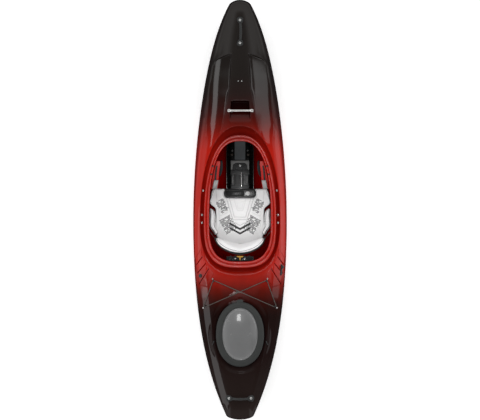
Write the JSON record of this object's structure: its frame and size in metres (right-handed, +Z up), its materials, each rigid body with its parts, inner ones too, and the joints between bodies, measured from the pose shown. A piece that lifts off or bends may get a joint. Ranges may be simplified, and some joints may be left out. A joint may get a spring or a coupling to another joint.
{
  "type": "recreational kayak",
  "caption": "Short sit-inside kayak with a keyhole cockpit, padded seat, hinged backband, thigh braces, oval stern hatch, deck bungee, grab handles, sliding foot pedals and a drop-down skeg.",
  "frame": {"origin": "middle of the bounding box in plan, on the level of the hull's flat bottom", "axes": "+Y points to the bow along the length, +X to the paddler's right (starboard), +Z up"},
  "size_m": [0.6144, 2.756, 0.3622],
  "materials": {
    "hull_red": "satin red moulded polyethylene",
    "deck_red": "satin moulded polyethylene, red amidships fading to near black at both ends",
    "black_plastic": "fine grained black",
    "grey_plastic": "smooth mid grey",
    "dark_rubber": "matte dark grey",
    "grey_foam": "closed-cell foam, matte",
    "white_pad": "padded, matte white",
    "steel": "bright stainless",
    "aluminium": "bright satin",
    "black_webbing": "flat woven black",
    "cord": "dark elastic cord",
    "brace_red": "satin red",
    "black_pad": "matte black foam pad",
    "yellow_webbing": "woven yellow"
  },
  "bodies": {
    "shell": {"back_base": "black_plastic", "base_tab": "yellow_webbing", "bow_bolt_front": "steel", "bow_bolt_rear": "steel", "bow_handle": "black_plastic", "broach_bar": "aluminium", "bungee_eye_1": "black_plastic", "bungee_eye_2": "black_plastic", "bungee_eye_3": "black_plastic", "bungee_eye_4": "black_plastic", "console": "black_plastic", "console_block": "dark_rubber", "console_frame": "grey_plastic", "deck": "deck_red", "deck_bungee": "cord", "drain_seat": "black_plastic", "foot_rail_left": "aluminium", "foot_rail_right": "aluminium", "front_pillar": "grey_foam", "hatch_rim": "black_plastic", "hip_pad_left": "white_pad", "hip_pad_right": "white_pad", "hip_plate_left": "black_plastic", "hip_plate_right": "black_plastic", "hull": "hull_red", "ladder_strap_left": "black_plastic", "ladder_strap_right": "black_plastic", "pad_eye_left": "black_plastic", "pad_eye_right": "black_plastic", "ratchet_base_left": "aluminium", "ratchet_base_right": "aluminium", "rear_bulkhead": "grey_foam", "seat_pad": "white_pad", "seat_pan": "grey_plastic", "seat_plate": "black_plastic", "side_strap_left": "black_webbing", "side_strap_right": "black_webbing", "skeg_box": "grey_plastic", "skeg_cleat": "black_plastic", "skeg_knob": "grey_plastic", "stern_bolt_left": "steel", "stern_bolt_right": "steel", "stern_handle": "black_plastic", "thigh_brace_left": "brace_red", "thigh_brace_right": "brace_red", "thigh_pad_left": "black_pad", "thigh_pad_right": "black_pad"},
    "hatch_lid": {"hatch_cover": "dark_rubber", "hatch_dome": "grey_plastic"},
    "skeg": {"skeg_blade": "black_plastic"},
    "pedal_left": {"foot_pedal_left": "black_plastic"},
    "pedal_right": {"foot_pedal_right": "black_plastic"},
    "backband": {"backband_pad": "white_pad", "backband_shell": "black_plastic", "backband_strap_left": "black_webbing", "backband_strap_right": "black_webbing"},
    "lever_left": {"ratchet_lever_left": "steel"},
    "lever_right": {"ratchet_lever_right": "steel"},
    "knob": {"plate_knob": "grey_plastic"},
    "drain": {"drain_plug": "dark_rubber"}
  },
  "joints": [
    {"name": "hatch_lift", "type": "slide", "parent": "shell", "child": "hatch_lid", "axis": [0, 0, 1], "range_m": [0, 0.12]},
    {"name": "skeg_swing", "type": "hinge", "parent": "shell", "child": "skeg", "pos_m": [0, -0.75, 0.03], "axis": [1, 0, 0], "range_deg": [0, 50]},
    {"name": "pedal_left_slide", "type": "slide", "parent": "shell", "child": "pedal_left", "axis": [0.1563, 0.9877, 0], "range_m": [-0.1, 0.16]},
    {"name": "pedal_right_slide", "type": "slide", "parent": "shell", "child": "pedal_right", "axis": [-0.1563, 0.9877, 0], "range_m": [-0.1, 0.16]},
    {"name": "backband_swing", "type": "hinge", "parent": "shell", "child": "backband", "pos_m": [0, -0.115, 0.195], "axis": [-1, 0, 0], "range_deg": [-4, 25]},
    {"name": "lever_left_lift", "type": "hinge", "parent": "shell", "child": "lever_left", "pos_m": [-0.166, 0.14063, 0.27724], "axis": [1, 0, 0], "range_deg": [0, 75]},
    {"name": "lever_right_lift", "type": "hinge", "parent": "shell", "child": "lever_right", "pos_m": [0.166, 0.14063, 0.27724], "axis": [1, 0, 0], "range_deg": [0, 75]},
    {"name": "knob_turn", "type": "hinge", "parent": "shell", "child": "knob", "pos_m": [0.051, 0.107, 0.0686], "axis": [0, 0, 1], "range_deg": [0, 90]},
    {"name": "drain_plug_out", "type": "slide", "parent": "shell", "child": "drain", "axis": [-0.4679, -0.0062, 0.8838], "range_m": [0, 0.03]}
  ]
}
